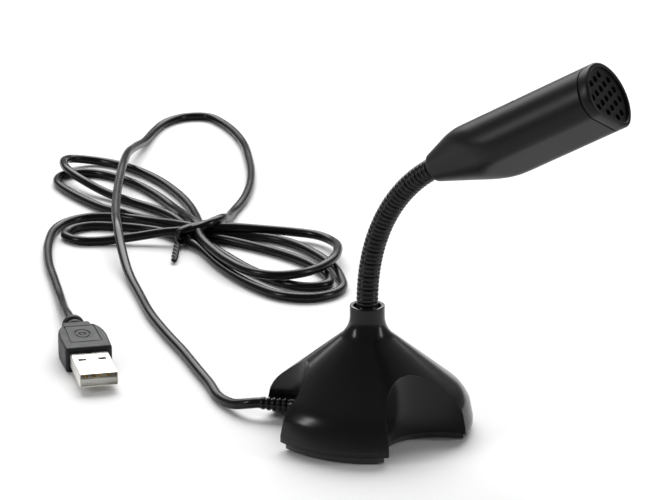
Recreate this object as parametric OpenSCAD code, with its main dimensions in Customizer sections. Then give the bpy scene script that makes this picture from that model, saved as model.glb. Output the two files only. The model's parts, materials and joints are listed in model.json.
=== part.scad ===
// Desktop microphone: a three-footed bell base, a flexible gooseneck, a tubular
// head with a perforated cap, and a USB cord tied in a hank.
// Origin: centre of the base, on the surface that it stands on. +Z up, and the
// neck bends forward in the XZ plane, towards +X.

/* [Base shell] */
// Radius of the base over its three feet
foot_r = 31.3; // [29:0.1:36]
// Wall of the base shell
shell_wall = 2; // [1.4:0.1:2.4]
// Height of the shell's lower edge above the surface
shell_lift = 2.3; // [2:0.1:3]
// Height of the open collar's rim
collar_top = 38; // [37:0.5:44]
// Outer radius of the collar
collar_r = 5.15; // [4.8:0.05:5.8]
// Radial gap between the gooseneck and the collar's bore
collar_gap = 0.75; // [0.5:0.05:1]
// Radius of the hollow sweep from the collar to the slope
flare_r = 8; // [6:0.5:10]
// Fall of the slope below the horizontal, in degrees
slope = 39; // [36:1:42]
// Radius of the rounding from the slope down to the feet
crown_r = 12; // [10:0.5:13]
// Height of the crown's centre above the surface
crown_z = 4; // [3:0.5:6]
// Turn of the base about its own axis, front foot from -Y, in degrees
base_turn = 8; // [0:1:30]

/* [Arches] */
// Radius of the three cylindrical bites between the feet
bite_r = 15.3; // [13:0.1:16.5]
// Distance of each bite's axis from the base's axis
bite_at = 32.8; // [32:0.1:36]

/* [Base plate] */
// Height of the plate's underside above the surface
plate_lift = 0.5; // [0.3:0.1:0.8]
// Thickness of the plate's step inside the shell
plate_step = 1.5; // [1:0.1:2.5]
// How far the plate's visible edge stands in from the shell's
plate_inset = 1.1; // [0.5:0.1:1.6]
// Play between the plate's step and the shell's wall
plate_play = 0.2; // [0.1:0.05:0.4]
// Radius of each foot pad
pad_r = 6; // [5:0.5:7]
// Depth of the recess that a pad is stuck in
pad_recess = 0.4; // [0.2:0.1:0.6]
// Distance of each pad, boss and screw from the base's axis
boss_at = 23; // [20:0.5:24]
// Radius of each screw boss
boss_r = 2.7; // [2.4:0.1:3.2]
// Radius of a base screw's shank
screw_r = 1.1; // [0.9:0.05:1.3]
// Radius of a base screw's head
screw_head_r = 2.3; // [2:0.1:2.6]

/* [Weight and board] */
// Radius of the steel weight
weight_r = 12.5; // [10:0.5:13]
// Thickness of the steel weight
weight_t = 4.5; // [3:0.5:6]
// Size of the circuit board across the base
board_x = 16; // [14:1:17]
// Size of the circuit board along Y
board_y = 24; // [22:1:25]
// Thickness of the circuit board
board_t = 1.6; // [1:0.1:2]
// Height of the board's underside above the surface
board_z = 14; // [12:0.5:14.5]
// Distance of each board post from the base's axis
post_at = 9.5; // [8.5:0.5:10]
// Radius of a board post
post_r = 2.2; // [1.8:0.1:2.6]

/* [Gooseneck] */
// Outer radius of the gooseneck
neck_r = 3.2; // [2.8:0.1:3.6]
// Radius of the gooseneck's bore
neck_bore_r = 1.7; // [1.2:0.1:2]
// Distance between two joints of the neck
link_len = 4.15; // [3.8:0.05:5]
// Gap between two links, which lets them tilt
link_gap = 1; // [0.9:0.05:1.3]
// Forward bend of the whole neck at rest, in degrees
neck_bend = 60; // [30:1:75]
// Height of the first joint above the collar's rim
first_joint_up = 1.3; // [1.2:0.1:3]
// Depth of the groove between two rings of the neck
ring_depth = 0.35; // [0.2:0.05:0.5]
// Play of a ferrule in its hole
ferrule_play = 0.1; // [0.05:0.05:0.2]

/* [Head] */
// Radius of the head's round top
head_r = 10.3; // [9.5:0.1:11.5]
// Distance from the head's axis to its flat underside
head_flat = 7.3; // [6.8:0.1:8.2]
// Radius of the two corners beside the flat
head_corner_r = 5; // [4:0.1:6]
// Wall of the head shell
head_wall = 1.6; // [1.2:0.1:2]
// Length from the last joint to the front of the cap
head_len = 62; // [56:0.5:70]
// Roll of the head about its axis, underside towards -Y, in degrees
head_roll = 34; // [0:1:45]
// Distance of the neck's axis above the head's axis
neck_offset = 3; // [2:0.1:3.5]
// Radius of the snout where the neck enters
snout_r = 4.2; // [4:0.1:4.8]
// Half angle of the snout's cone, in degrees
snout_angle = 19; // [16:1:24]
// Angle of the bevel under the snout, in degrees
bevel_angle = 20; // [16:1:22]
// Distance from the last joint to the bevel's front edge
bevel_at = 16.7; // [14:0.1:20]

/* [Grille cap] */
// Visible length of the cap
cap_len = 3; // [2.4:0.1:5]
// Width of the seam between the cap and the head shell
cap_seam = 0.3; // [0.2:0.05:0.5]
// Width of the cap's front rim
cap_rim = 1.3; // [1:0.1:1.8]
// Depth of the perforated plate behind the rim
grille_recess = 1; // [0.5:0.1:1.4]
// Radius of each hole in the grille
hole_r = 1; // [0.7:0.05:1.1]
// Distance between the rows of staggered holes
hole_step = 2.2; // [2:0.1:2.6]

/* [Capsule] */
// Radius of the microphone capsule
capsule_r = 4.85; // [4:0.05:4.9]
// Length of the microphone capsule
capsule_len = 6.4; // [4:0.1:6.8]
// Shift of the capsule's axis above the head's axis
capsule_up = 1.5; // [1.2:0.1:1.8]

/* [Cord] */
// Diameter of the cord
cord_d = 3.2; // [2.8:0.1:3.6]
// Height of the tied hank
hank_h = 6.6; // [6:0.2:8]
// Height of the cord's exit from the base
exit_z = 4.8; // [4.6:0.1:5.4]
// Length of the strain relief outside the base
relief_len = 12; // [10:0.5:13]

/* [Plug] */
// Width of the plug's metal shell
plug_shell_w = 12; // [11.9:0.1:12.1]
// Height of the plug's metal shell
plug_shell_h = 4.5; // [4.4:0.1:4.6]
// Length of the metal shell in front of the grip
plug_shell_len = 18.7; // [17:0.1:19]
// Width of the plug's grip at its front
grip_w = 15.2; // [14.5:0.1:16]
// Length of the plug's grip
grip_len = 22; // [20:0.5:24]
// Thickness of the plug's grip
grip_h = 8; // [7.6:0.1:8.4]

/* [Hidden] */
$fn = 64;
eps = 0.01;
touch = 0.02;   // play between pieces that are pressed or screwed together
blend = 0.005;  // depth at which a tangent line is set into its arc

// Base
feet = [for (i = [0:2]) -90 + base_turn + 120 * i];
bites = [for (f = feet) f + 60];
slope_n = [sin(slope), cos(slope)];
crown_c = [foot_r - crown_r, crown_z];
flare_c = [collar_r + flare_r,
           crown_z + (crown_r + flare_r - (collar_r + flare_r - crown_c[0]) * sin(slope)) / cos(slope)];
collar_bore_r = neck_r + collar_gap;
collar_depth = 11;
shelf_top = collar_top - collar_depth;   // where the lower ferrule sits
shelf_t = 2;                    // floor of the collar that the nut clamps
plate_top = shell_lift + plate_step;
step_lean = 0.3;                // how far the shell's wall leans in over the plate's step
post_hole = 6;                  // depth of a board post's screw hole
pad_top = plate_lift + pad_recess;
screw_head_t = 1.5;
screw_play = 0.3;
screw_seat = pad_top + screw_head_t + 0.1;
screw_len = 8;
screw_tip = 0.8;
screw_slot = 0.5;
weight_screw_r = 1.5;
weight_head_r = 2.9;
weight_head_t = 1.4;
head_sink = 0.2;                // how deep the weight's screw head lies in the plate
board_top = board_z + board_t;
board_screw_r = 0.9;
board_head_r = 1.8;
board_head_t = 1.3;
header_h = 4.6;
header_wall = 0.6;
header_floor = 1;
cord_header_at = [-4.9, -6];
cord_header_size = [4, 8];
mic_header_at = [0.3, 2.6];
mic_header_size = [4.6, 4.4];
chip_at = [1.6, -3.9];
chip_w = 7;                     // over the pins
chip_t = 1.2;
pin_pitch = 0.8;
pin_size = [1, 0.3, 0.5];
crystal_at = [5.2, 3];
crystal_span = 4;
crystal_r = 1.9;
crystal_h = 3.2;
capacitor_x = -5.4;
capacitor_y = [2.6, 7.2];
capacitor_r = 2;

// Ferrules and nuts
ferrule_r = neck_r + 0.5;
thread_r = 2.6;
washer_t = 0.6;
washer_r = 4.6;
nut_t = 2.2;
nut_r = 4.3;
thread_end = shelf_top - shelf_t - washer_t - nut_t - 1;
cup_h = 4;                      // ferrule's cup around the gooseneck's end
cup_floor = 1;
lead_r = 1.1;
lead_low = board_top + header_h + 0.2;
foot_rings = 7;                 // rings of the gooseneck below its first joint

// Gooseneck: links 1 to link_count stand between link_count + 1 joints
link_count = 12;
rings_per_link = 3;
bend_power = 1.3;               // the bend grows towards the head
function link_angle(k) = neck_bend * pow(k / (link_count + 1), bend_power);
function joint_at(k) = k == 0 ? [0, 0, collar_top + first_joint_up]
    : joint_at(k - 1) + link_len * [sin(link_angle(k)), 0, cos(link_angle(k))];

// Head, measured from the last joint along the head's axis
snout_start = 1;
bore_end = 10;
cap_start = head_len - cap_len;
spigot_len = 4;
spigot_t = 1.2;
spigot_play = 0.1;
grille_t = 1;
grille_front = head_len - grille_recess;
foam_r = 5.4;
felt_t = 0.5;
foam_t = 2.4;
capsule_front = grille_front - grille_t - foam_t - felt_t;
capsule_back = capsule_front - capsule_len;
capsule_board_t = 0.8;
head_lead_r = 0.8;
upper_nut_r = 4.6;
upper_ferrule_end = bore_end + nut_t + 1;
holder_len = 4;
port_r = 1;                     // sound port of the capsule
port_depth = 0.3;
cloth_inset = 0.4;
hole_margin = 0.6;              // metal left between a hole and the rim
flat_margin = 0.4;
slot_at = head_len - 28;        // small slot across the top of the tube
slot_w = 1.7;
slot_len = 4;
slot_depth = 1;
wide = 60;                      // longer than any section of the head

// Cord route, from the strain relief to the hank and from the hank to the plug
exit_heading = 195;
exit_from_bite = 64;            // where on the front-left bite the cord comes out
relief_r = 2.5;                 // strain relief where it passes the shell's wall
relief_in = 3;                  // how far it reaches into the base
relief_plain = 3.5;             // its untapered length outside
relief_reach = 8;
cord_r = cord_d / 2;
bite_c = bite_at * [cos(bites[2]), sin(bites[2])];
exit_p = bite_c + bite_r * [cos(exit_from_bite), sin(exit_from_bite)];
exit_dir = [cos(exit_heading), sin(exit_heading)];
over = hank_h + cord_r + 0.3;   // height of the cord's axis where it crosses the hank
relief_tip = concat(exit_p + relief_len * exit_dir, exit_z);
loop_route = [
    relief_tip, concat(exit_p + (relief_len + 4) * exit_dir, exit_z - 0.6), [-41, -9, 2.4],
    [-49, -4, cord_r], [-57, 4, cord_r], [-68, 14, cord_r], [-80, 25, cord_r],
    [-94, 37, cord_r], [-108, 50, cord_r], [-122, 65, cord_r], [-136, 80, 2.4], [-148, 94, 5.5],
    [-157, 105.5, over - 0.2], [-166, 118, over], [-178, 137, over], [-188, 154, over], [-197, 170, over],
    [-206, 187, over - 1], [-213, 203, 5], [-219, 219, 2.4], [-225, 235, cord_r],
    [-228, 248, cord_r], [-226, 259, cord_r], [-218, 264, cord_r], [-208, 259, cord_r],
    [-196, 249, cord_r], [-184, 236, cord_r], [-173, 221, cord_r], [-163, 206, cord_r],
    [-154, 190, cord_r], [-147, 174, cord_r], [-142, 158, cord_r], [-138, 147, 1.8],
    [-134, 139.5, 2.4], [-131, 135, 3]];
lead_route = [
    [-168, 133.3, 2], [-177.5, 132, cord_r], [-184.5, 127, cord_r], [-187.6, 119, cord_r],
    [-186.6, 110, cord_r], [-182, 100, cord_r], [-175, 88.5, cord_r], [-165, 75, cord_r],
    [-153, 61, cord_r], [-142, 48, 1.8], [-133, 37, 2.8], [-127, 30.4, grip_h / 2 - 0.2],
    [-122, 25, grip_h / 2]];

// Hank: its waist is at the tie, its lobes reach left and right of it
tie_at = [-138, 126];
tie_turn = -19;                 // the hank's own direction at the tie
waist_r = 8;
waist = [tie_at, waist_r];
left_far = [[-208, 171], 21.5];
left_near = [[-171.5, 112.8], 12];
right_far = [[-86, 106.5], 21.5];
right_near = [[-105, 130], 19];
tie_w = 2.6;
tie_wire = 0.8;
tie_bite = 0.6;                 // how deep the tie presses into the hank
tie_tail = 20;
tail_r = 1.2;
tail_turn = 48;                 // the tail's turn from the hank's cross direction

// Plug: its own frame starts where the cord enters and points to the mouth
plug_at = [-122, 25];
plug_heading = -47;
relief_ring_r = 3.6;
relief_ring_at = 3;
relief_groove_r = 2.4;
relief_groove_at = 5.2;
relief_collar_at = 6.6;
relief_collar_r = 3.3;
plug_relief_len = 9;
plug_neck_len = 5;
plug_neck_w = 10;
plug_neck_h = 6.2;
grip_start = plug_relief_len + plug_neck_len;
shell_start = grip_start + grip_len;
panel_back = 1.5;               // sunk panel on the grip's top
panel_side = 3.2;
panel_len = 15;
panel_depth = 0.3;
shell_sheet = 0.3;
window_at = 5.2;                // two windows in the top of the metal shell
window_y = 3.1;
window_size = [1.9, 2.5];
shell_inside = 8;
tongue_h = 1.9;
tongue_back = 1.2;              // how far the tongue stays behind the mouth
contact_y = [-3.5, -1, 1, 3.5];
contact_size = [7.4, 1, 0.15];

// ---- shared shapes ----

// Band between the tangent points of two circles: [centre, radius] each
module tangent_band(a, b) {
    d = b[0] - a[0];
    turn = atan2(d[1], d[0]);
    tip = acos((a[1] - b[1]) / norm(d));
    function edge(c, s) = c[0] + c[1] * [cos(turn + s * tip), sin(turn + s * tip)];
    polygon([edge(a, 1), edge(a, -1), edge(b, -1), edge(b, 1)]);
}

// Outer meridian of the base, drawn in by an offset, from a height to another
module base_meridian(off, low, high) {
    convex = crown_r - off;
    hollow = flare_r + off;
    rim_x = collar_r - off;
    intersection() {
        translate([0, low]) square([foot_r + 1, high - low]);
        difference() {
            union() {
                polygon([[0, -1], [crown_c[0], -1], crown_c, crown_c + (convex - blend) * slope_n,
                         flare_c - (hollow + blend) * slope_n, [rim_x, flare_c[1]],
                         [rim_x, collar_top + 1], [0, collar_top + 1]]);
                translate(crown_c) circle(convex, $fn = 96);
            }
            translate(flare_c) circle(hollow + 2 * blend, $fn = 96);
        }
    }
}

module bite_columns(grow) {
    for (a = bites)
        rotate(a) translate([bite_at, 0, -1]) cylinder(r = bite_r + grow, h = collar_top, $fn = 96);
}

module at_feet(r) {
    for (a = feet) rotate(a) translate([r, 0, 0]) children();
}

module tube(r, bore, h) {
    difference() {
        cylinder(r = r, h = h);
        translate([0, 0, -eps]) cylinder(r = bore, h = h + 2 * eps);
    }
}

// Stretch of gooseneck: rings stacked along Z from low to high
module ringed_tube(low, high, rings) {
    pitch = (high - low) / rings;
    cut = ring_depth;
    difference() {
        rotate_extrude()
            polygon(concat([[0, low]],
                [for (i = [0:rings - 1], p = [[neck_r - cut, 0], [neck_r, cut],
                    [neck_r, pitch - cut], [neck_r - cut, pitch]]) [p[0], low + i * pitch + p[1]]],
                [[0, high]]));
        translate([0, 0, low - eps]) cylinder(r = neck_bore_r, h = high - low + 2 * eps);
    }
}

module hex_nut(r, bore, h) {
    difference() {
        cylinder(r = r, h = h, $fn = 6);
        translate([0, 0, -eps]) cylinder(r = bore, h = h + 2 * eps);
    }
}

// ---- base ----

module base_shell() color("#151617")
    difference() {
        union() {
            difference() {
                rotate_extrude($fn = 96) base_meridian(0, shell_lift, collar_top);
                bite_columns(0);
                difference() {
                    rotate_extrude($fn = 96)
                        base_meridian(shell_wall, shell_lift - eps, shelf_top - shelf_t);
                    bite_columns(shell_wall);
                }
            }
            intersection() {
                rotate_extrude($fn = 96) base_meridian(shell_wall / 2, plate_top + plate_play, shelf_top);
                at_feet(boss_at) cylinder(r = boss_r, h = shelf_top);
            }
        }
        translate([0, 0, shelf_top]) cylinder(r = collar_bore_r, h = collar_top);
        translate([0, 0, shelf_top - shelf_t - 1]) cylinder(r = thread_r + ferrule_play, h = shelf_t + 2);
        at_feet(boss_at) translate([0, 0, plate_top]) cylinder(r = screw_r + touch, h = screw_len);
        relief_hole();
    }

module relief_hole()
    translate([exit_p[0], exit_p[1], exit_z]) rotate([0, 90, exit_heading])
        translate([0, 0, -relief_reach]) cylinder(r = relief_r + touch, h = 2 * relief_reach);

module plate_outline(r, grow)
    difference() {
        circle(r, $fn = 96);
        for (a = bites) rotate(a) translate([bite_at, 0]) circle(bite_r + grow, $fn = 96);
    }

module base_plate() color("#1b1c1d")
    difference() {
        union() {
            translate([0, 0, plate_lift]) linear_extrude(shell_lift - plate_lift)
                plate_outline(foot_r - plate_inset, plate_inset);
            translate([0, 0, shell_lift]) linear_extrude(plate_step)
                plate_outline(foot_r - shell_wall - plate_play - step_lean, shell_wall + plate_play);
            for (s = [-1, 1]) translate([0, s * post_at, shell_lift])
                cylinder(r = post_r, h = board_z - shell_lift);
        }
        at_feet(boss_at) {
            translate([0, 0, plate_lift - eps]) cylinder(r = pad_r + touch, h = pad_recess + eps);
            cylinder(r = screw_head_r + screw_play, h = screw_seat);
            cylinder(r = screw_r + screw_play, h = plate_top + 1);
        }
        cylinder(r = weight_head_r + screw_play, h = plate_lift + weight_head_t + head_sink);
        cylinder(r = weight_screw_r + screw_play, h = plate_top + 1);
        for (s = [-1, 1]) translate([0, s * post_at, board_z - post_hole])
            cylinder(r = board_screw_r + touch, h = post_hole + 1);
        relief_hole();
    }

module foot_pads() color("#26282a")
    at_feet(boss_at) cylinder(r = pad_r, h = pad_top);

module screw(shank_r, shank, head, head_h) {
    translate([0, 0, -head_h]) difference() {
        cylinder(r = head, h = head_h);
        for (a = [0, 90]) rotate(a) translate([-head * 0.6, -screw_slot / 2, -eps])
            cube([head * 1.2, screw_slot, head_h / 2]);
    }
    translate([0, 0, -eps]) cylinder(r = shank_r, h = shank - screw_tip);
    translate([0, 0, shank - screw_tip - eps])
        cylinder(r1 = shank_r, r2 = shank_r / 4, h = screw_tip, $fn = 32);
}

module base_screws() color("#9a9c9e")
    at_feet(boss_at) translate([0, 0, screw_seat])
        screw(screw_r, screw_len - 0.6, screw_head_r, screw_head_t);

module steel_weight() color("#7d8084")
    translate([0, 0, plate_top]) difference() {
        cylinder(r = weight_r, h = weight_t, $fn = 96);
        for (s = [-1, 1]) translate([0, s * post_at, -1]) cylinder(r = post_r + 0.3, h = weight_t + 2);
        translate([0, 0, -1]) cylinder(r = weight_screw_r + touch, h = weight_t + 2);
    }

module weight_screw() color("#8f9194")
    translate([0, 0, plate_lift + weight_head_t + head_sink])
        screw(weight_screw_r, weight_t + 0.6, weight_head_r, weight_head_t);

// ---- circuit board ----

module circuit_board() color("#1f5c3a")
    translate([-board_x / 2, -board_y / 2, board_z]) difference() {
        cube([board_x, board_y, board_t]);
        for (s = [-1, 1]) translate([board_x / 2, board_y / 2 + s * post_at, -1])
            cylinder(r = board_screw_r + 0.2, h = board_t + 2);
    }

module board_screws() color("#a5a7a9")
    for (s = [-1, 1]) translate([0, s * post_at, board_top]) mirror([0, 0, 1])
        screw(board_screw_r, board_t + 5.5, board_head_r, board_head_t);

module codec_chip() color("#101010")
    translate([chip_at[0], chip_at[1], board_top]) {
        body = chip_w - 2 * pin_size[0];
        translate([-body / 2, -body / 2, pin_size[2] / 2]) cube([body, body, chip_t]);
        for (a = [0:90:270], i = [-2:2]) rotate(a)
            translate([body / 2 - eps, i * pin_pitch - pin_size[1] / 2, 0]) cube(pin_size);
    }

module crystal_can() color("#b8babc")
    translate([crystal_at[0], crystal_at[1], board_top]) oval_can(crystal_span, crystal_r, crystal_h);

// Upright slot-shaped can: two round ends joined by a block
module oval_can(span, r, h) {
    for (s = [-1, 1]) translate([0, s * span / 2, 0]) cylinder(r = r, h = h);
    translate([-r, -span / 2, 0]) cube([2 * r, span, h]);
}

module filter_capacitors() color("#2b3f6b")
    for (y = capacitor_y) translate([capacitor_x, y, board_top]) cylinder(r = capacitor_r, h = header_h);

// Open-topped connector box, centred on a place of the board
module header(at, size) {
    translate([at[0] - size[0] / 2, at[1] - size[1] / 2, board_top]) difference() {
        cube([size[0], size[1], header_h]);
        translate([header_wall, header_wall, header_floor])
            cube([size[0] - 2 * header_wall, size[1] - 2 * header_wall, header_h]);
    }
}

module cord_header() color("#e8e6dc") header(cord_header_at, cord_header_size);
module mic_header() color("#e8e6dc") header(mic_header_at, mic_header_size);

module mic_lead() color("#3a3c3e")
    translate([0, 0, lead_low]) cylinder(r = lead_r, h = collar_top + first_joint_up - link_gap / 2 - lead_low);

// ---- lower end of the gooseneck ----

module lower_ferrule() color("#5f6265")
    translate([0, 0, thread_end]) {
        difference() {
            union() {
                cylinder(r = thread_r, h = shelf_top - thread_end);
                translate([0, 0, shelf_top - thread_end]) cylinder(r = ferrule_r, h = cup_h);
            }
            translate([0, 0, -1]) cylinder(r = neck_bore_r, h = collar_top);
            translate([0, 0, shelf_top - thread_end + cup_floor]) cylinder(r = neck_r + touch, h = cup_h + 1);
        }
    }

module neck_nut() color("#8a8d90")
    translate([0, 0, shelf_top - shelf_t - washer_t - nut_t]) hex_nut(nut_r, thread_r + touch, nut_t);

module lock_washer() color("#95989b")
    translate([0, 0, shelf_top - shelf_t - washer_t]) tube(washer_r, thread_r + ferrule_play, washer_t);

module gooseneck_foot() color("#1d1e1f")
    ringed_tube(shelf_top + cup_floor, collar_top + first_joint_up - link_gap / 2, foot_rings);

// ---- links of the gooseneck ----

module neck_link(k) color("#1d1e1f")
    translate(joint_at(k - 1)) rotate([0, link_angle(k), 0])
        ringed_tube(link_gap / 2, link_len - link_gap / 2, rings_per_link);

module neck_link_01() neck_link(1);
module neck_link_02() neck_link(2);
module neck_link_03() neck_link(3);
module neck_link_04() neck_link(4);
module neck_link_05() neck_link(5);
module neck_link_06() neck_link(6);
module neck_link_07() neck_link(7);
module neck_link_08() neck_link(8);
module neck_link_09() neck_link(9);
module neck_link_10() neck_link(10);
module neck_link_11() neck_link(11);
module neck_link_12() neck_link(12);

// ---- head ----

// Head frame: Z along the head, X towards the flat underside, origin at the last
// joint on the neck's axis
module in_head()
    translate(joint_at(link_count)) rotate([0, neck_bend, 0]) rotate(-head_roll) children();

// Cross-section of the head, drawn in by an offset, centred on the head's axis
module head_section(off) {
    r = head_r - off;
    reach = head_r - head_corner_r;
    cx = head_flat - head_corner_r;
    cy = sqrt(reach * reach - cx * cx);
    intersection() {
        circle(r, $fn = 96);
        translate([-r - 1, -r - 1]) square([r + 1 + cx * r / reach, 2 * r + 2]);
    }
    for (s = [-1, 1]) translate([cx, s * cy]) circle(head_corner_r - off + blend);
    translate([0, -cy]) square([head_flat - off, 2 * cy]);
}

module head_prism(off, low, high)
    translate([neck_offset, 0, low]) linear_extrude(high - low) head_section(off);

// Room kept by the snout's cone and its bevel, drawn in by an offset
module snout_room(off, low) {
    r_end = snout_r + (head_len - snout_start) * tan(snout_angle);
    intersection() {
        translate([0, 0, snout_start])
            cylinder(r1 = snout_r - off / cos(snout_angle), r2 = r_end - off / cos(snout_angle),
                     h = head_len - snout_start, $fn = 96);
        translate([neck_offset + head_flat, 0, bevel_at]) rotate([0, bevel_angle, 0])
            translate([-wide - off, -wide / 2, -wide]) cube([wide, wide, 3 * wide]);
        translate([-wide / 2, -wide / 2, low]) cube([wide, wide, head_len]);
    }
}

module head_shell() color("#17181a")
    in_head() difference() {
        intersection() {
            head_prism(0, snout_start, cap_start - cap_seam);
            snout_room(0, snout_start);
        }
        intersection() {
            head_prism(head_wall, bore_end, head_len);
            snout_room(head_wall, bore_end);
        }
        cylinder(r = neck_r + ferrule_play + touch, h = bore_end + 1);
        translate([neck_offset, 0, slot_at]) rotate(180 + head_roll)
            translate([head_r - slot_depth, -slot_len / 2, 0]) cube([slot_depth + 1, slot_len, slot_w]);
    }

module grille_cap() color("#121314")
    in_head() difference() {
        union() {
            head_prism(0, cap_start, head_len);
            head_prism(head_wall + spigot_play, cap_start - spigot_len, cap_start + eps);
        }
        head_prism(cap_rim, grille_front, head_len + 1);
        head_prism(head_wall + spigot_play + spigot_t, cap_start - spigot_len - 1, grille_front - grille_t);
        translate([neck_offset, 0, grille_front - grille_t - 1])
            for (i = [-3:3], j = [-3:3])
                if ((i + j) % 2 == 0 && norm([i, j]) * hole_step < head_r - cap_rim - hole_r - hole_margin
                    && i * hole_step < head_flat - cap_rim - hole_r - flat_margin)
                    translate([i * hole_step, j * hole_step]) cylinder(r = hole_r, h = grille_t + 2);
    }

module on_capsule_axis(z)
    in_head() translate([neck_offset - capsule_up, 0, z]) children();

module foam_disc() color("#2a2b2c")
    on_capsule_axis(capsule_front + felt_t) cylinder(r = foam_r, h = foam_t);

module capsule_felt() color("#0e0e0e")
    on_capsule_axis(capsule_front) cylinder(r = capsule_r - cloth_inset, h = felt_t);

module mic_capsule() color("#c4c6c8")
    on_capsule_axis(capsule_back) difference() {
        cylinder(r = capsule_r, h = capsule_len);
        translate([0, 0, capsule_len - port_depth]) cylinder(r = port_r, h = 1);
    }

module capsule_board() color("#2c6b46")
    on_capsule_axis(capsule_back - capsule_board_t) cylinder(r = capsule_r - cloth_inset, h = capsule_board_t);

module capsule_holder() color("#232425")
    in_head() difference() {
        head_prism(head_wall + touch, cap_start - spigot_len - holder_len, cap_start - spigot_len - touch);
        translate([neck_offset - capsule_up, 0, cap_start - spigot_len - holder_len - 1])
            cylinder(r = capsule_r + touch, h = holder_len + 2);
    }

module head_lead() color("#3a3c3e")
    in_head() translate([0, 0, link_gap / 2])
        cylinder(r = head_lead_r, h = capsule_back - capsule_board_t - link_gap / 2);

module upper_ferrule() color("#1d1e1f")
    in_head() difference() {
        translate([0, 0, link_gap / 2]) cylinder(r = neck_r, h = upper_ferrule_end - link_gap / 2);
        cylinder(r = neck_bore_r, h = head_len);
    }

module upper_nut() color("#8a8d90")
    in_head() translate([0, 0, bore_end]) hex_nut(upper_nut_r, neck_r + touch, nut_t);

// ---- cord ----

module base_strain_relief() color("#161718")
    translate([exit_p[0], exit_p[1], exit_z]) rotate([0, 90, exit_heading]) {
        translate([0, 0, -relief_in]) cylinder(r = relief_r, h = relief_in + relief_plain);
        translate([0, 0, relief_plain - eps])
            cylinder(r1 = relief_r, r2 = cord_r + 0.3, h = relief_len - relief_plain);
    }

// Tube swept along a smooth curve through the route's points
function catmull(p, i, t) = let (
        n = len(p) - 1,
        a = p[max(i - 1, 0)], b = p[i], c = p[min(i + 1, n)], d = p[min(i + 2, n)])
    0.5 * (2 * b + (c - a) * t + (2 * a - 5 * b + 4 * c - d) * t * t
        + (3 * b - a - 3 * c + d) * t * t * t);

function unit(v) = v / norm(v);

module swept_tube(route, r, steps, sides) {
    n = len(route) - 1;
    line = [for (i = [0:n - 1], s = [0:steps - 1]) catmull(route, i, s / steps), route[n]];
    last = len(line) - 1;
    rings = [for (i = [0:last]) let (
            along = unit(line[min(i + 1, last)] - line[max(i - 1, 0)]),
            side = unit(cross(along, [0, 0, 1])),
            up = cross(side, along))
        for (s = [0:sides - 1]) line[i] + r * (cos(s * 360 / sides + 180 / sides) * side
            + sin(s * 360 / sides + 180 / sides) * up)];
    polyhedron(rings, concat([[for (s = [0:sides - 1]) s]],
        [for (i = [0:last - 1], s = [0:sides - 1]) let (e = (s + 1) % sides)
            [i * sides + s, (i + 1) * sides + s, (i + 1) * sides + e, i * sides + e]],
        [[for (s = [sides - 1:-1:0]) last * sides + s]]));
}

module cord_loop() color("#17181a") swept_tube(loop_route, cord_r, 2, 8);
module cord_lead() color("#17181a") swept_tube(lead_route, cord_r, 1, 8);

module tie_ring(grow) {
    depth = 2 * waist_r + 2 * tie_wire;
    difference() {
        translate([-tie_w / 2 - grow, -depth / 2, 0])
            cube([tie_w + 2 * grow, depth, hank_h + tie_wire]);
        translate([-tie_w, -waist_r + tie_bite, tie_wire])
            cube([2 * tie_w, 2 * (waist_r - tie_bite), hank_h - tie_wire]);
    }
}

// Channel in the hank's side that the tie's tail lies in
module tail_channel()
    translate([0, -waist_r - tie_bite, 0]) rotate(tail_turn)
        translate([-tail_r - touch, -tie_tail, -1])
            cube([2 * (tail_r + touch), tie_tail + touch, 2 * tail_r + touch + 1]);

module at_tie() translate([tie_at[0], tie_at[1], 0]) rotate(tie_turn) children();

module cord_hank() color("#17181a")
    difference() {
        linear_extrude(hank_h) {
            for (c = [waist, left_far, left_near, right_near, right_far])
                translate(c[0]) circle(c[1] + blend);
            tangent_band(waist, left_far);
            tangent_band(waist, left_near);
            tangent_band(waist, right_near);
            tangent_band(right_near, right_far);
        }
        at_tie() {
            tie_ring(touch);
            tail_channel();
        }
    }

module twist_tie() color("#0f1011")
    at_tie() {
        tie_ring(0);
        translate([0, -waist_r - tie_bite, tail_r]) rotate([90, 0, tail_turn]) cylinder(r = tail_r, h = tie_tail);
    }

// ---- plug ----

module in_plug() translate([plug_at[0], plug_at[1], grip_h / 2]) rotate(plug_heading) children();

module plug_strain_relief() color("#161718")
    in_plug() rotate([0, 90, 0]) {
        cylinder(r1 = cord_r + 0.4, r2 = relief_groove_r, h = relief_ring_at);
        translate([0, 0, relief_ring_at - eps])
            cylinder(r = relief_ring_r, h = relief_groove_at - relief_ring_at);
        translate([0, 0, relief_groove_at - 2 * eps])
            cylinder(r = relief_groove_r, h = relief_collar_at - relief_groove_at + 2 * eps);
        translate([0, 0, relief_collar_at - eps])
            cylinder(r = relief_collar_r, h = plug_relief_len - relief_collar_at + eps);
    }

module plug_grip() color("#2a2c2e")
    in_plug() difference() {
        union() {
            translate([plug_relief_len, -plug_neck_w / 2, -plug_neck_h / 2])
                cube([plug_neck_len + eps, plug_neck_w, plug_neck_h]);
            translate([0, 0, -grip_h / 2]) linear_extrude(grip_h) polygon([
                [grip_start, -grip_w / 2 + 2.4], [grip_start + 3, -grip_w / 2 + 1],
                [grip_start + 10, -grip_w / 2], [shell_start, -grip_w / 2 + 0.3],
                [shell_start, grip_w / 2 - 0.3], [grip_start + 10, grip_w / 2],
                [grip_start + 3, grip_w / 2 - 1], [grip_start, grip_w / 2 - 2.4]]);
        }
        translate([grip_start + panel_back, -grip_w / 2 + panel_side, grip_h / 2 - panel_depth])
            cube([panel_len, grip_w - 2 * panel_side, 1]);
        translate([shell_start - shell_inside, -plug_shell_w / 2 - touch, -plug_shell_h / 2 - touch])
            cube([shell_inside + 1, plug_shell_w + 2 * touch, plug_shell_h + 2 * touch]);
    }

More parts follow.
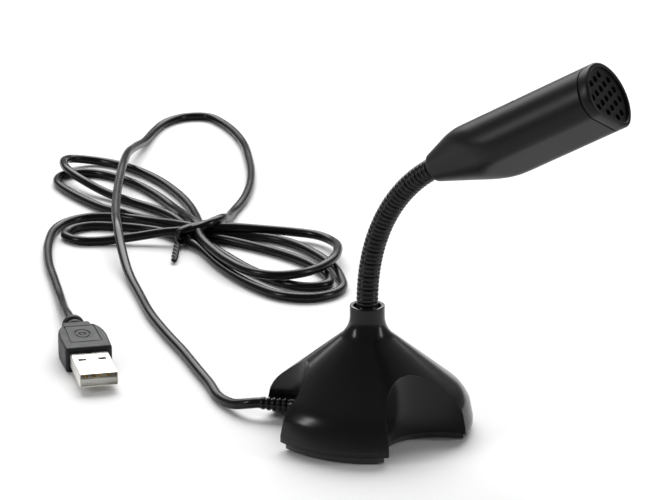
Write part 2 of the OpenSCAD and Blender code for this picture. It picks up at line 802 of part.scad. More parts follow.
module plug_shell() color("#c9c7c0")
    in_plug() difference() {
        translate([shell_start - shell_inside, -plug_shell_w / 2, -plug_shell_h / 2])
            cube([shell_inside + plug_shell_len, plug_shell_w, plug_shell_h]);
        translate([shell_start - shell_inside + shell_sheet, -plug_shell_w / 2 + shell_sheet,
                   -plug_shell_h / 2 + shell_sheet])
            cube([shell_inside + plug_shell_len, plug_shell_w - 2 * shell_sheet,
                  plug_shell_h - 2 * shell_sheet]);
        for (s = [-1, 1]) translate([shell_start + window_at, s * window_y - window_size[1] / 2, 0])
            cube([window_size[0], window_size[1], plug_shell_h]);
    }

module plug_tongue() color("#f1efe8")
    in_plug() translate([shell_start - shell_inside + shell_sheet, -plug_shell_w / 2 + shell_sheet + touch,
                         -plug_shell_h / 2 + shell_sheet])
        cube([shell_inside + plug_shell_len - shell_sheet - tongue_back,
              plug_shell_w - 2 * shell_sheet - 2 * touch, tongue_h]);

module plug_contacts() color("#d8b04a")
    in_plug() for (y = contact_y)
        translate([shell_start + plug_shell_len - contact_size[0] - 2 * tongue_back, y - contact_size[1] / 2,
                   -plug_shell_h / 2 + shell_sheet + tongue_h])
            cube(contact_size);

base_shell();
base_plate();
foot_pads();
base_screws();
steel_weight();
weight_screw();
circuit_board();
board_screws();
codec_chip();
crystal_can();
filter_capacitors();
cord_header();
mic_header();
mic_lead();
neck_nut();
lock_washer();
lower_ferrule();
gooseneck_foot();
neck_link_01();
neck_link_02();
neck_link_03();
neck_link_04();
neck_link_05();
neck_link_06();
neck_link_07();
neck_link_08();
neck_link_09();
neck_link_10();
neck_link_11();
neck_link_12();
upper_ferrule();
upper_nut();
head_shell();
grille_cap();
foam_disc();
capsule_felt();
mic_capsule();
capsule_board();
capsule_holder();
head_lead();
base_strain_relief();
cord_loop();
cord_hank();
cord_lead();
twist_tie();
plug_strain_relief();
plug_grip();
plug_shell();
plug_tongue();
plug_contacts();
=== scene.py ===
"""Desktop microphone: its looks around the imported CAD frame.

Lengths are in millimetres and turned into metres once, by MM.
"""

import json
import math

import bmesh
import bpy
from mathutils import Matrix, Vector
from mathutils.geometry import delaunay_2d_cdt


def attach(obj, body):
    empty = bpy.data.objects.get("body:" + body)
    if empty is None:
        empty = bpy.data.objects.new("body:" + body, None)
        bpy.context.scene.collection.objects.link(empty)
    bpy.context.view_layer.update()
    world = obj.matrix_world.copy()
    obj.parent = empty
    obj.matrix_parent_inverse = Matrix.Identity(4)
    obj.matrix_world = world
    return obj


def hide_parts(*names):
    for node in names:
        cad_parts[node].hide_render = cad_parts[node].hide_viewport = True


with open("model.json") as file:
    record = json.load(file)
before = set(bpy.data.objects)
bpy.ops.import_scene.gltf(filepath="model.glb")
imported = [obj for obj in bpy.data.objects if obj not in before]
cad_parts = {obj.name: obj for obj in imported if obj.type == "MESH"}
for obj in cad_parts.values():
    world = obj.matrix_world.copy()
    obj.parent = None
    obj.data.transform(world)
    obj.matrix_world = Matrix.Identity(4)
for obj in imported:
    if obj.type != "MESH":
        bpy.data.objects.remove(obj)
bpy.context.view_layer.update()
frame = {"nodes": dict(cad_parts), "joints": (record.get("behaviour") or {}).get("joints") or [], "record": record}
MM = 0.001
TAU = 2 * math.pi

# ---- camera: the photograph's viewing angle ----
AZIMUTH, ELEVATION = math.radians(29.5), math.radians(18)
back = Vector((math.sin(AZIMUTH) * math.cos(ELEVATION), -math.cos(AZIMUTH) * math.cos(ELEVATION),
    math.sin(ELEVATION)))
right = Vector((math.cos(AZIMUTH), math.sin(AZIMUTH), 0))
up = back.cross(right)
AIM_RIGHT, AIM_UP, CAMERA_BACK, LENS = -11.9, 52.1, 887, 165.4
aim = right * AIM_RIGHT * MM + up * AIM_UP * MM
camera = bpy.data.objects.new("camera", bpy.data.cameras.new("camera"))
bpy.context.scene.collection.objects.link(camera)
camera.location = aim + back * CAMERA_BACK * MM
camera.rotation_mode = "QUATERNION"
camera.rotation_quaternion = (-back).to_track_quat("-Z", "Y")
camera.data.sensor_width = 36
camera.data.lens = LENS
camera.data.clip_start, camera.data.clip_end = 0.05, 20
bpy.context.scene.camera = camera


# ---- shared making ----
def add_mesh(name, verts, faces, place=None, smooth=True):
    """A mesh object from points in millimetres, moved by a matrix in millimetres."""
    mesh = bpy.data.meshes.new(name)
    moved = [(place @ Vector(v) if place else Vector(v)) * MM for v in verts]
    mesh.from_pydata(moved, [], faces)
    bm = bmesh.new()
    bm.from_mesh(mesh)
    bmesh.ops.remove_doubles(bm, verts=bm.verts, dist=1e-7)
    bmesh.ops.dissolve_degenerate(bm, edges=bm.edges, dist=1e-8)
    bmesh.ops.recalc_face_normals(bm, faces=bm.faces)
    bm.to_mesh(mesh)
    bm.free()
    mesh.validate()
    if smooth:
        mesh.shade_smooth()
    obj = bpy.data.objects.new(name, mesh)
    bpy.context.scene.collection.objects.link(obj)
    return obj


def grid(rows, close_rows=False, close_cols=True):
    """Quads over rows of points of equal length."""
    n, m = len(rows), len(rows[0])
    verts = [p for row in rows for p in row]
    faces = []
    for i in range(n if close_rows else n - 1):
        for j in range(m if close_cols else m - 1):
            a, b = i, (i + 1) % n
            c, d = j, (j + 1) % m
            faces.append((a * m + c, a * m + d, b * m + d, b * m + c))
    return verts, faces


def joined(*parts):
    """Several (verts, faces) as one."""
    verts, faces = [], []
    for v, f in parts:
        faces += [tuple(i + len(verts) for i in q) for q in f]
        verts += v
    return verts, faces


def soften(obj, width, segments=3, angle=32):
    """Rounded edges and clean shading on a hard-edged piece."""
    bevel = obj.modifiers.new("round", "BEVEL")
    bevel.width, bevel.segments = width * MM, segments
    bevel.limit_method, bevel.angle_limit = "ANGLE", math.radians(angle)
    bevel.use_clamp_overlap = True
    obj.modifiers.new("shade", "WEIGHTED_NORMAL").keep_sharp = True
    return obj


def apply_all(obj):
    dg = bpy.context.evaluated_depsgraph_get()
    mesh = bpy.data.meshes.new_from_object(obj.evaluated_get(dg))
    obj.modifiers.clear()
    old = obj.data
    obj.data = mesh
    bpy.data.meshes.remove(old)
    return obj


def cut(obj, *tools):
    """Takes the tools' room out of obj, and drops the tools."""
    for tool in tools:
        m = obj.modifiers.new("cut", "BOOLEAN")
        m.operation, m.object, m.solver = "DIFFERENCE", tool, "EXACT"
        apply_all(obj)
        bpy.data.objects.remove(tool)
    return obj


def revolve(profile, columns, place, name):
    """A closed (radius, height) outline turned about Z."""
    rows = [[(r * math.cos(TAU * j / columns), r * math.sin(TAU * j / columns), z) for j in range(columns)]
        for r, z in profile]
    return add_mesh(name, *grid(rows, close_rows=True), place)


def mark_sharp(obj, angle):
    """Smooth shading, but for the edges whose faces turn by more than angle degrees."""
    obj.data.shade_smooth()
    bm = bmesh.new()
    bm.from_mesh(obj.data)
    for e in bm.edges:
        if len(e.link_faces) == 2 and e.calc_face_angle(0) > math.radians(angle):
            e.smooth = False
    bm.to_mesh(obj.data)
    bm.free()


def box_tool(size, centre, place):
    x, y, z = (s / 2 for s in size)
    corners = [(centre[0] + i * x, centre[1] + j * y, centre[2] + k * z) for i in (-1, 1) for j in (-1, 1)
        for k in (-1, 1)]
    faces = [(0, 1, 3, 2), (4, 6, 7, 5), (0, 4, 5, 1), (2, 3, 7, 6), (0, 2, 6, 4), (1, 5, 7, 3)]
    return add_mesh("tool", corners, faces, place, smooth=False)


def spline(points, per):
    """Catmull-Rom line through the points."""
    p = [Vector(q) for q in points]
    n = len(p)
    line = []
    for i in range(n - 1):
        a, b, c, d = p[max(i - 1, 0)], p[i], p[i + 1], p[min(i + 2, n - 1)]
        for s in range(per):
            t = s / per
            line.append(0.5 * (2 * b + (c - a) * t + (2 * a - 5 * b + 4 * c - d) * t * t
                               + (3 * b - a - 3 * c + d) * t ** 3))
    line.append(p[-1])
    return line


def swept(line, section, closed=False, upward=Vector((0, 0, 1))):
    """Rows of a section, (across, upward) offsets or a function of the row, carried along a line."""
    rows, n = [], len(line)
    for i, p in enumerate(line):
        a = line[i - 1] if closed or i else line[0]
        b = line[(i + 1) % n] if closed or i < n - 1 else line[-1]
        along = (b - a).normalized()
        side = along.cross(upward).normalized()
        top = side.cross(along)
        offsets = section(i) if callable(section) else section
        rows.append([tuple(p + side * u + top * v) for u, v in offsets])
    return rows


def ring_section(r, sides):
    return [(r * math.cos(TAU * s / sides), r * math.sin(TAU * s / sides)) for s in range(sides)]


def capped(rows):
    """A closed tube from open rows: each end is drawn in to its middle."""
    def middle(row):
        c = sum((Vector(p) for p in row), Vector()) / len(row)
        return [tuple(c)] * len(row)
    return grid([middle(rows[0]), *rows, middle(rows[-1])])


# ---- materials ----
def material(name, colour, rough, metallic=0.0, coat=0.0, mottle=0.15, mottle_scale=300.0, rough_spread=0.06,
             grain=0.1, grain_scale=2500.0, grain_depth=0.02, wear=0.0, stretch=(1, 1,
                 1), sheen=0.0, subsurface=0.0, specular=0.5):
    """A moulded, sheathed or metal surface: mottled colour, uneven gloss, fine grain and any wear."""
    m = bpy.data.materials.new(name)
    m.use_nodes = True
    nodes, links = m.node_tree.nodes, m.node_tree.links
    shader = nodes["Principled BSDF"]
    shader.inputs["Metallic"].default_value = metallic
    shader.inputs["Coat Weight"].default_value = coat
    shader.inputs["Coat Roughness"].default_value = 0.06
    shader.inputs["Sheen Weight"].default_value = sheen
    shader.inputs["Specular IOR Level"].default_value = specular
    shader.inputs["Subsurface Weight"].default_value = subsurface
    place = nodes.new("ShaderNodeTexCoord")
    turn = nodes.new("ShaderNodeMapping")
    turn.inputs["Scale"].default_value = stretch
    links.new(place.outputs["Object"], turn.inputs["Vector"])

    def noise(scale, detail):
        n = nodes.new("ShaderNodeTexNoise")
        n.inputs["Scale"].default_value = scale
        n.inputs["Detail"].default_value = detail
        links.new(turn.outputs["Vector"], n.inputs["Vector"])
        return n.outputs["Fac"]

    ramp = nodes.new("ShaderNodeValToRGB")
    low, high = (tuple(min(1.0, c * (1 + s * mottle)) for c in colour) + (1,) for s in (-1, 1))
    ramp.color_ramp.elements[0].position, ramp.color_ramp.elements[0].color = 0.3, low
    ramp.color_ramp.elements[1].position, ramp.color_ramp.elements[1].color = 0.7, high
    links.new(noise(mottle_scale, 4), ramp.inputs["Fac"])
    colour_out = ramp.outputs["Color"]
    if wear:
        edges = nodes.new("ShaderNodeNewGeometry")
        sharp = nodes.new("ShaderNodeMapRange")
        sharp.inputs["From Min"].default_value, sharp.inputs["From Max"].default_value = 0.52, 0.6
        sharp.inputs["To Max"].default_value = wear
        links.new(edges.outputs["Pointiness"], sharp.inputs["Value"])
        mix = nodes.new("ShaderNodeMix")
        mix.data_type = "RGBA"
        mix.inputs["B"].default_value = tuple(min(1.0, 0.1 + 2 * c) for c in colour) + (1,)
        links.new(sharp.outputs["Result"], mix.inputs["Factor"])
        links.new(colour_out, mix.inputs["A"])
        colour_out = mix.outputs["Result"]
    links.new(colour_out, shader.inputs["Base Color"])
    spread = nodes.new("ShaderNodeMapRange")
    spread.inputs["From Min"].default_value, spread.inputs["From Max"].default_value = 0.3, 0.7
    spread.inputs["To Min"].default_value = max(0.02, rough - rough_spread)
    spread.inputs["To Max"].default_value = min(1.0, rough + rough_spread)
    links.new(noise(mottle_scale * 0.4, 5), spread.inputs["Value"])
    links.new(spread.outputs["Result"], shader.inputs["Roughness"])
    bump = nodes.new("ShaderNodeBump")
    bump.inputs["Strength"].default_value = grain
    bump.inputs["Distance"].default_value = grain_depth * MM
    links.new(noise(grain_scale, 3), bump.inputs["Height"])
    links.new(bump.outputs["Normal"], shader.inputs["Normal"])
    return m


LOOKS = {
    "gloss_black_plastic": dict(colour=(0.006, 0.006, 0.0065), rough=0.22, specular=0.28, rough_spread=0.04,
        mottle_scale=60, grain=0.04, grain_scale=900, wear=0.25),
    "satin_black_plastic": dict(colour=(0.012, 0.012, 0.013), rough=0.42, grain=0.3, grain_scale=3000, wear=0.2),
    "pad_foam": dict(colour=(0.02, 0.02, 0.021), rough=0.85, grain=0.8, grain_scale=2200, grain_depth=0.08),
    "zinc_steel": dict(colour=(0.5, 0.5, 0.48), rough=0.35, metallic=1.0, grain=0.2),
    "weight_steel": dict(colour=(0.33, 0.33, 0.34), rough=0.45, metallic=1.0, grain=0.4, stretch=(1, 8, 1)),
    "board_laminate": dict(colour=(0.01, 0.1, 0.04), rough=0.35, coat=0.3, mottle=0.3, mottle_scale=900),
    "chip_epoxy": dict(colour=(0.015, 0.015, 0.015), rough=0.55, grain=0.4),
    "can_steel": dict(colour=(0.6, 0.6, 0.61), rough=0.25, metallic=1.0, stretch=(1, 1, 12)),
    "capacitor_sleeve": dict(colour=(0.02, 0.04, 0.16), rough=0.3, coat=0.3),
    "header_nylon": dict(colour=(0.78, 0.76, 0.69), rough=0.5, subsurface=0.1),
    "lead_sheath": dict(colour=(0.03, 0.03, 0.032), rough=0.5, stretch=(1, 1, 0.2)),
    "plated_steel": dict(colour=(0.42, 0.42, 0.43), rough=0.3, metallic=1.0),
    "black_spring_steel": dict(colour=(0.018, 0.018, 0.019), rough=0.3, metallic=0.75, rough_spread=0.08,
        mottle=0.3, mottle_scale=900, grain=0.15, wear=0.12),
    "head_black_plastic": dict(colour=(0.007, 0.007, 0.0075), rough=0.36, specular=0.2, rough_spread=0.04,
        mottle_scale=90, grain=0.28, grain_scale=3600, grain_depth=0.015, wear=0.1),
    "acoustic_foam": dict(colour=(0.008, 0.008, 0.008), rough=0.95, mottle=0.6, mottle_scale=2500, grain=1.0,
        grain_scale=2600, grain_depth=0.2),
    "capsule_cloth": dict(colour=(0.01, 0.01, 0.01), rough=0.95, grain=1.0, grain_scale=5000, grain_depth=0.05,
        sheen=0.2),
    "capsule_aluminium": dict(colour=(0.7, 0.7, 0.71), rough=0.28, metallic=1.0, stretch=(1, 1, 10)),
    "holder_rubber": dict(colour=(0.02, 0.02, 0.021), rough=0.7, grain=0.4),
    "cord_sheath": dict(colour=(0.005, 0.005, 0.0055), rough=0.25, specular=0.22, rough_spread=0.07,
        mottle=0.25, mottle_scale=120, grain=0.22, grain_scale=1500, grain_depth=0.03),
    "tie_plastic": dict(colour=(0.007, 0.007, 0.0075), rough=0.33, specular=0.25, grain=0.4, grain_scale=1800,
        grain_depth=0.05),
    "plug_moulding": dict(colour=(0.014, 0.0147, 0.0162), rough=0.5, specular=0.22, rough_spread=0.05,
        mottle=0.12, mottle_scale=500, grain=0.5, grain_scale=4200, grain_depth=0.03, wear=0.15),
    "nickel_shell": dict(colour=(0.9, 0.88, 0.83), rough=0.34, metallic=1.0, rough_spread=0.04, mottle=0.04,
        mottle_scale=700, grain=0.04),
    "white_plastic": dict(colour=(0.84, 0.82, 0.76), rough=0.45, mottle=0.04, grain=0.15, subsurface=0.08),
    "gold_contact": dict(colour=(0.85, 0.58, 0.22), rough=0.25, metallic=1.0, mottle=0.1, stretch=(6, 1, 1)),
}
materials = {name: material(name, **look) for name, look in LOOKS.items()}
for part in frame["record"]["subparts"]:
    node = frame["nodes"][part["node"]]
    node.data.materials.clear()
    node.data.materials.append(materials[part["material_slot"]])


def finish_piece(obj, slot, body, *nodes):
    """Gives a piece the material named by its slot, hangs it on its body, and hides the CAD nodes that it stands
    for.
    """
    obj.data.materials.clear()
    obj.data.materials.append(materials[slot])
    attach(obj, body)
    if nodes:
        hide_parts(*nodes)


# ---- cord: the route of part.scad, then the hank's three left and three right loops ----
CORD_D, HANK_H = 3.2, 6.6
LIE = CORD_D / 2
BITE_AT, BITE_R = 32.8, 15.3
EXIT_Z, RELIEF_LEN = 4.8, 12.0
PLUG_AT = (-122, 25, 4.0)
exit_heading = math.radians(195)
exit_dir = Vector((math.cos(exit_heading), math.sin(exit_heading), 0))
bite_turn, exit_turn = math.radians(218), math.radians(64)
exit_point = Vector((BITE_AT * math.cos(bite_turn) + BITE_R * math.cos(exit_turn),
    BITE_AT * math.sin(bite_turn) + BITE_R * math.sin(exit_turn), EXIT_Z))
OVER = HANK_H + LIE + 0.3
LOOP = [
    (-41, -9, 2.4), (-49, -4, LIE), (-57, 4, LIE), (-68, 14, LIE), (-80, 25, LIE), (-94, 37, LIE), (-108, 50, LIE),
    (-122, 65, LIE), (-136, 80, 2.4), (-148, 94, 5.5), (-157, 105.5, OVER - 0.2), (-166, 118, OVER), (-178,
        137, OVER),
    (-188, 154, OVER), (-197, 170, OVER), (-206, 187, OVER - 1), (-213, 203, 5), (-219, 219, 2.4), (-225, 235, LIE),
    (-228, 248, LIE), (-226, 259, LIE), (-218, 264, LIE), (-208, 259, LIE), (-196, 249, LIE), (-184, 236, LIE),
    (-173, 221, LIE), (-163, 206, LIE), (-154, 190, LIE), (-147, 174, LIE), (-142, 158, 1.7),
]
LEFT_1 = [
    (-137, 146, 3.6), (-133.4, 137, 6.6), (-133, 130, 7.2), (-135.2, 125, 6.2), (-139.1, 122.3, 5.2), (-147,
        118.6, 4.2),
    (-156, 113, 2.6), (-165, 106.6, LIE), (-172, 103.2, LIE), (-179.3, 105.8, LIE), (-181.4, 112.5,
        LIE), (-178, 119.3, LIE),
    (-171, 122.8, LIE), (-161, 125.6, LIE), (-150, 125.5, 1.8),
]
RIGHT_1 = [
    (-139.6, 121.2, 2.3), (-129, 115.6, 1.8), (-116, 105, LIE), (-103, 96, LIE), (-91, 89.8, LIE), (-80, 86.6, LIE),
    (-70.8, 89, LIE), (-66.2, 96, LIE), (-66.5, 104, LIE), (-71, 111.5, LIE), (-79, 121, LIE), (-90, 129.5, LIE),
    (-102, 136, LIE), (-113, 138.5, LIE), (-125, 136, 1.8),
]
LEFT_2 = [
    (-136.4, 130.8, 2.3), (-143.5, 138.2, 1.8), (-151, 147.5, LIE), (-160, 157.5, LIE), (-171, 167.5,
        LIE), (-186, 178.5, LIE),
    (-200, 185.6, LIE), (-212, 189, LIE), (-222, 188.4, 1.9), (-228, 182, 3.4), (-226, 173.4, 4.8), (-218,
        164.6, 4.9),
    (-207, 158.4, 4.0), (-194, 154, 2.4), (-181, 151, LIE), (-169, 147.8, LIE), (-158, 143, LIE), (-148, 135.8, 1.8),
]
RIGHT_2 = [
    (-137.4, 127.6, 2.3), (-126, 128.6, 1.8), (-113, 127.5, LIE), (-101, 125, LIE), (-90, 121, LIE), (-81.5,
        116, LIE),
    (-75.4, 110.5, LIE), (-72.6, 104.4, LIE), (-76.4, 99, LIE), (-84, 97.8, LIE), (-94, 101, LIE), (-105, 106, LIE),
    (-118, 113.8, LIE), (-129, 120.4, 1.8),
]
LEFT_3 = [
    (-138.5, 124.4, 2.3), (-150, 131.2, 1.8), (-162, 135.6, LIE), (-173, 137.4, LIE), (-185, 139.4,
        LIE), (-197, 144.4, LIE),
    (-209, 151, LIE), (-218.5, 158.2, LIE), (-222, 166, LIE), (-218, 173, LIE), (-210, 175.4, LIE), (-200,
        173.6, LIE),
    (-188, 168.8, LIE), (-176, 161.6, LIE), (-164, 152.6, 1.7), (-153.4, 143.2, 3.0), (-145.4, 135.4, 4.6),
]
RIGHT_3 = [
    (-137, 129.2, 5.1), (-127.4, 134.8, 4.7), (-118, 141, 3.6), (-109, 145, 3.0), (-100, 145.8, 3.0), (-91.4,
        141.4, 3.4),
    (-84.4, 133, 4.6), (-79.6, 122, 5.0), (-78.4, 110.5, 5.0), (-81, 101, 5.0), (-88, 95, 4.9), (-98, 95.4, 4.8),
    (-110, 101.6, 4.8), (-122, 110.5, 4.9), (-131, 118.6, 5.0),
]
TAIL = [
    (-138, 126.2, 5.1), (-147.4, 129, 4.4), (-158, 131.6, 3.0), (-168, 133.3, 2.0), (-177.5, 132,
        LIE), (-184.5, 127, LIE),
    (-187.6, 119, LIE), (-186.6, 110, LIE), (-182, 100, LIE), (-175, 88.5, LIE), (-165, 75, LIE), (-153, 61, LIE),
    (-142, 48, 1.8), (-133, 37, 2.8), (-127, 30.4, 3.8), (-122, 25, 4.0), (-119.5, 22.3, 4.0),
]
relief_tip = exit_point + exit_dir * RELIEF_LEN
route = [exit_point - exit_dir * 1.0, exit_point + exit_dir * 5, relief_tip, (*(exit_point + exit_dir * 16).xy, 4.2)]
route += LOOP + LEFT_1 + RIGHT_1 + LEFT_2 + RIGHT_2 + LEFT_3 + RIGHT_3 + TAIL
cord_line = spline(route, 5)
curve = bpy.data.curves.new("cord", "CURVE")
curve.dimensions = "3D"
strand = curve.splines.new("POLY")
strand.points.add(len(cord_line) - 1)
for point, p in zip(strand.points, cord_line):
    point.co = (*(p * MM), 1)
curve.bevel_depth = CORD_D / 2 * MM
curve.bevel_resolution = 5
curve.use_fill_caps = True
cord = bpy.data.objects.new("cord", curve)
bpy.context.scene.collection.objects.link(cord)
finish_piece(cord, "cord_sheath", "base", "cord_loop", "cord_hank", "cord_lead")

# Strain relief of the base: a ribbed taper
relief_place = Matrix.Translation(exit_point) @ Matrix.Rotation(exit_heading, 4,
    "Z") @ Matrix.Rotation(math.pi / 2, 4, "Y")
profile = [(1.62, -2.9), (2.3, -2.9), (2.45, -2.7), (2.45, 2.6), (2.3, 2.8)]
for i in range(5):
    z, r = 3.2 + 1.75 * i, 2.4 - 0.12 * i
    profile += [(r - 0.28, z), (r - 0.28, z + 0.35), (r - 0.04, z + 0.5), (r, z + 0.7), (r, z + 1.1),
        (r - 0.04, z + 1.3), (r - 0.28, z + 1.45)]
profile += [(1.75, RELIEF_LEN), (1.62, RELIEF_LEN)]
base_relief = revolve(profile, 40, relief_place, "base_relief")
finish_piece(base_relief, "cord_sheath", "base", "base_strain_relief")

# Twist tie: a ribbon round the hank's waist and its twisted tail
tie_place = Matrix.Translation((-138, 126, 0)) @ Matrix.Rotation(math.radians(-19), 4, "Z")
loop = []
for s in range(64):
    a = TAU * s / 64
    c, d = math.cos(a), math.sin(a)
    loop.append(Vector((0.5 * d, 8.0 * math.copysign(abs(c) ** 0.62, c),
        3.75 + 3.25 * math.copysign(abs(d) ** 0.62, d))))
ribbon = swept(loop, [(0.42 * math.cos(TAU * k / 12), 1.3 * math.sin(TAU * k / 12)) for k in range(12)],
    closed=True, upward=Vector((1, 0, 0)))
tie_ring = grid(ribbon, close_rows=True)
TAIL_LEN, TAIL_TURNS, STRAND_R = 19.5, 2.6, 0.62
tail_turn = math.radians(48)
tail_dir = Vector((math.sin(tail_turn), -math.cos(tail_turn), 0))
tail_side = Vector((tail_dir.y, -tail_dir.x, 0))
strands = []
for k in (0, 1):
    line = []
    for s in range(61):
        t = s / 60
        a = TAU * (TAIL_TURNS * t + k / 2)
        r = STRAND_R * min(1, 12 * (1 - t) + 0.25)
        line.append(Vector((0, -8.1, 1.35)) + tail_dir * TAIL_LEN * t + tail_side * r * math.cos(a) + Vector((0, 0, r * math.sin(a))))
    strands.append(capped(swept(line, ring_section(STRAND_R, 12), upward=Vector((0, 0.02, 1)))))
twist_tie = add_mesh("tie", *joined(tie_ring, *strands), tie_place)
finish_piece(twist_tie, "tie_plastic", "base", "twist_tie")

# ---- plug, in its own frame: X towards the mouth ----
plug_place = Matrix.Translation(PLUG_AT) @ Matrix.Rotation(math.radians(-47), 4, "Z")
along_x = plug_place @ Matrix.Rotation(math.pi / 2, 4, "Y")
profile = [(1.62, 0.0), (1.95, 0.0), (2.15, 0.4), (2.3, 1.8), (2.45, 2.6), (3.1, 2.75), (3.5, 3.1), (3.6, 3.7),
    (3.6, 4.5), (3.45, 5.0), (3.1, 5.25),
           (2.45, 5.35), (2.4, 6.4), (2.9, 6.5), (3.2, 6.8), (3.3, 7.3), (3.3, 8.2), (3.15, 8.7), (2.8,
               9.0), (1.62, 9.0)]
plug_relief = revolve(profile, 40, along_x, "plug_relief")
finish_piece(plug_relief, "plug_moulding", "base", "plug_strain_relief")

GRIP_START, GRIP_END, GRIP_H = 14.0, 36.0, 8.0
outline = [(GRIP_START, 5.2), (GRIP_START + 3, 6.6), (GRIP_START + 6.5, 7.35), (GRIP_START + 10, 7.6),
    (GRIP_END, 7.3)]
loop = outline + [(x, -y) for x, y in reversed(outline)]
count = len(loop)
verts = [(x, y, z) for z in (-GRIP_H / 2, GRIP_H / 2) for x, y in loop]
faces = [tuple(reversed(range(count))), tuple(range(count, 2 * count))]
faces += [(i, (i + 1) % count, count + (i + 1) % count, count + i) for i in range(count)]
grip = soften(add_mesh("plug_grip_body", verts, faces, plug_place), 0.9, 4, 24)
apply_all(grip)
panel = [(GRIP_START + 1.8, 4.6), (GRIP_END - 5.5, 4.9), (GRIP_END - 5.5, -4.9), (GRIP_START + 1.8, -4.6)]


def groove(points, width, top, depth):
    """A ring-shaped tool along a closed outline in the plug's plane."""
    rows = []
    n = len(points)
    for i in range(n):
        a, b, c = Vector(points[i - 1]), Vector(points[i]), Vector(points[(i + 1) % n])
        d1, d2 = (b - a).normalized(), (c - b).normalized()
        n1, n2 = Vector((-d1.y, d1.x)), Vector((-d2.y, d2.x))
        mid = (n1 + n2) / max(0.2, 1 + n1.dot(n2))
        inner, outer = b + mid * width / 2, b - mid * width / 2
        rows.append([(inner.x, inner.y, top), (outer.x, outer.y, top), (outer.x, outer.y, top - depth),
            (inner.x, inner.y, top - depth)])
    return add_mesh("tool", *grid(rows, close_rows=True), plug_place, smooth=False)


oval = [(GRIP_START + 9 + 3.6 * math.cos(TAU * s / 40), 2.3 * math.sin(TAU * s / 40)) for s in range(40)]
dot = [(GRIP_START + 9 + 1.0 * math.cos(TAU * s / 24), 1.0 * math.sin(TAU * s / 24)) for s in range(24)]
cut(grip, groove(panel, 0.5, GRIP_H / 2 + 1, 1.35), groove(oval, 0.5, GRIP_H / 2 + 1, 1.3),
    groove(dot, 0.5, GRIP_H / 2 + 1, 1.3),
    box_tool((10, 12.1, 4.6), (GRIP_END - 3, 0, 0), plug_place))
mark_sharp(grip, 35)
grip.modifiers.new("shade", "WEIGHTED_NORMAL").keep_sharp = True
finish_piece(grip, "plug_moulding", "base", "plug_grip")
neck_loop = [(8.8, 4.4), (GRIP_START + 0.6, 5.0), (GRIP_START + 0.6, -5.0), (8.8, -4.4)]
verts = [(x, y, z) for z in (-3.1, 3.1) for x, y in neck_loop]
faces = [(3, 2, 1, 0), (4, 5, 6, 7)] + [(i, (i + 1) % 4, 4 + (i + 1) % 4, 4 + i) for i in range(4)]
plug_neck = soften(add_mesh("plug_neck", verts, faces, plug_place), 0.8, 4)
finish_piece(plug_neck, "plug_moulding", "base")


def rounded_box_loop(w, h, r, per=6):
    points = []
    for cx, cy, start in ((w / 2 - r, h / 2 - r, 0), (-w / 2 + r, h / 2 - r, 90),
            (-w / 2 + r, -h / 2 + r, 180), (w / 2 - r, -h / 2 + r, 270)):
        for s in range(per + 1):
            a = math.radians(start + 90 * s / per)
            points.append((cx + r * math.cos(a), cy + r * math.sin(a)))
    return points


SHELL_W, SHELL_H, SHELL_OUT = 12.0, 4.5, 18.7
rows = []
for x, w, h, r in ((GRIP_END - 7.9, SHELL_W, SHELL_H, 0.55), (GRIP_END + SHELL_OUT - 0.25, SHELL_W, SHELL_H, 0.55),
                   (GRIP_END + SHELL_OUT, SHELL_W - 0.2, SHELL_H - 0.2, 0.5), (GRIP_END + SHELL_OUT,
                       SHELL_W - 0.6, SHELL_H - 0.6, 0.3),
                   (GRIP_END - 7.9, SHELL_W - 0.6, SHELL_H - 0.6, 0.3)):
    rows.append([(x, y, z) for y, z in rounded_box_loop(w, h, r)])
metal = add_mesh("plug_metal", *grid(rows, close_rows=True), plug_place)
tools = [box_tool((2.1, 2.6, 3), (GRIP_END + 6.2, s * 3.1, SHELL_H / 2 + 0.4), plug_place) for s in (-1, 1)]
tools += [box_tool((2.1, 2.6, 3), (GRIP_END + 6.2, s * 3.1, -SHELL_H / 2 - 0.4), plug_place) for s in (-1, 1)]
notch = [(1.3 * math.cos(TAU * s / 32), 1.3 * math.sin(TAU * s / 32)) for s in range(32)]
tools.append(add_mesh("tool", *capped([[(GRIP_END + 0.1 + 0.8 * x, y, z) for x, y in notch]
    for z in (1.2, 3.4)]), plug_place, smooth=False))
cut(metal, *tools)
mark_sharp(metal, 40)
metal.modifiers.new("shade", "WEIGHTED_NORMAL").keep_sharp = True
finish_piece(metal, "nickel_shell", "base", "plug_shell")

# ---- base shell ----
FOOT_R, CROWN_R, CROWN_Z, SLOPE = 31.3, 12.0, 4.0, math.radians(39)
COLLAR_R, COLLAR_TOP, FLARE_R, WALL, LIFT = 5.15, 38.0, 8.0, 2.0, 2.3
BORE_R, SHELF_TOP, SHELF_T, THREAD_R = 3.95, 27.0, 2.0, 2.7
BASE_TURN = math.radians(8)
PER_FOOT = 28
crown_x = FOOT_R - CROWN_R
flare_x = COLLAR_R + FLARE_R
flare_z = CROWN_Z + (CROWN_R + FLARE_R - (flare_x - crown_x) * math.sin(SLOPE)) / math.cos(SLOPE)


def meridian_z(r, off):
    """Height of the bell's surface, drawn in by off, at a radius on its crown or slope."""
    convex = CROWN_R - off
    if r <= crown_x + convex * math.sin(SLOPE):
        return CROWN_Z + (convex - (r - crown_x) * math.sin(SLOPE)) / math.cos(SLOPE)
    return CROWN_Z + math.sqrt(max(0.0, convex * convex - (r - crown_x) ** 2))


def circle_row(r, z):
    return [(r * math.cos(a), r * math.sin(a), z) for a in
            [BASE_TURN - math.pi / 6 + TAU * j / (3 * PER_FOOT) for j in range(3 * PER_FOOT)]]


